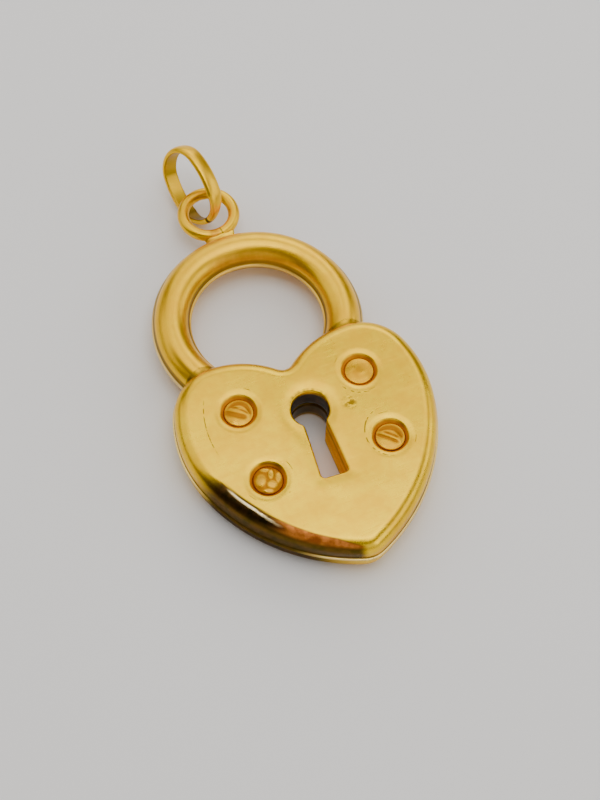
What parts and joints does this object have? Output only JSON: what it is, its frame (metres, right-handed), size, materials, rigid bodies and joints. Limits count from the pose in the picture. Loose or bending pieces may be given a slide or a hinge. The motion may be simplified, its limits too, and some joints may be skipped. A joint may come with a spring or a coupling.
{
  "type": "padlock pendant",
  "caption": "Small hollow gold heart padlock charm with a keyhole through it, mock screw heads, a soldered jump ring and a loose oval bail, lying on its back.",
  "frame": {"origin": "middle of the bounding box at its base: on the resting surface, halfway from the heart's tip to the top of the bail, on the heart's centre line", "axes": "+X across the heart to its right lobe, seen from the front; +Y from the heart's tip towards the bail; +Z out of the front face, up from the surface that the back rests on"},
  "size_m": [0.0154, 0.0296, 0.004],
  "materials": {
    "case_gold": "polished yellow gold with soft handling wear and fine scratches",
    "screw_gold": "struck yellow gold, less worn than the face round it",
    "bail_gold": "drawn and polished yellow gold strip"
  },
  "bodies": {
    "root": {"padlock": "case_gold", "screw_top_left": "screw_gold", "screw_top_right": "screw_gold", "screw_low_left": "screw_gold", "screw_low_right": "screw_gold", "bail": "bail_gold"}
  },
  "joints": []
}
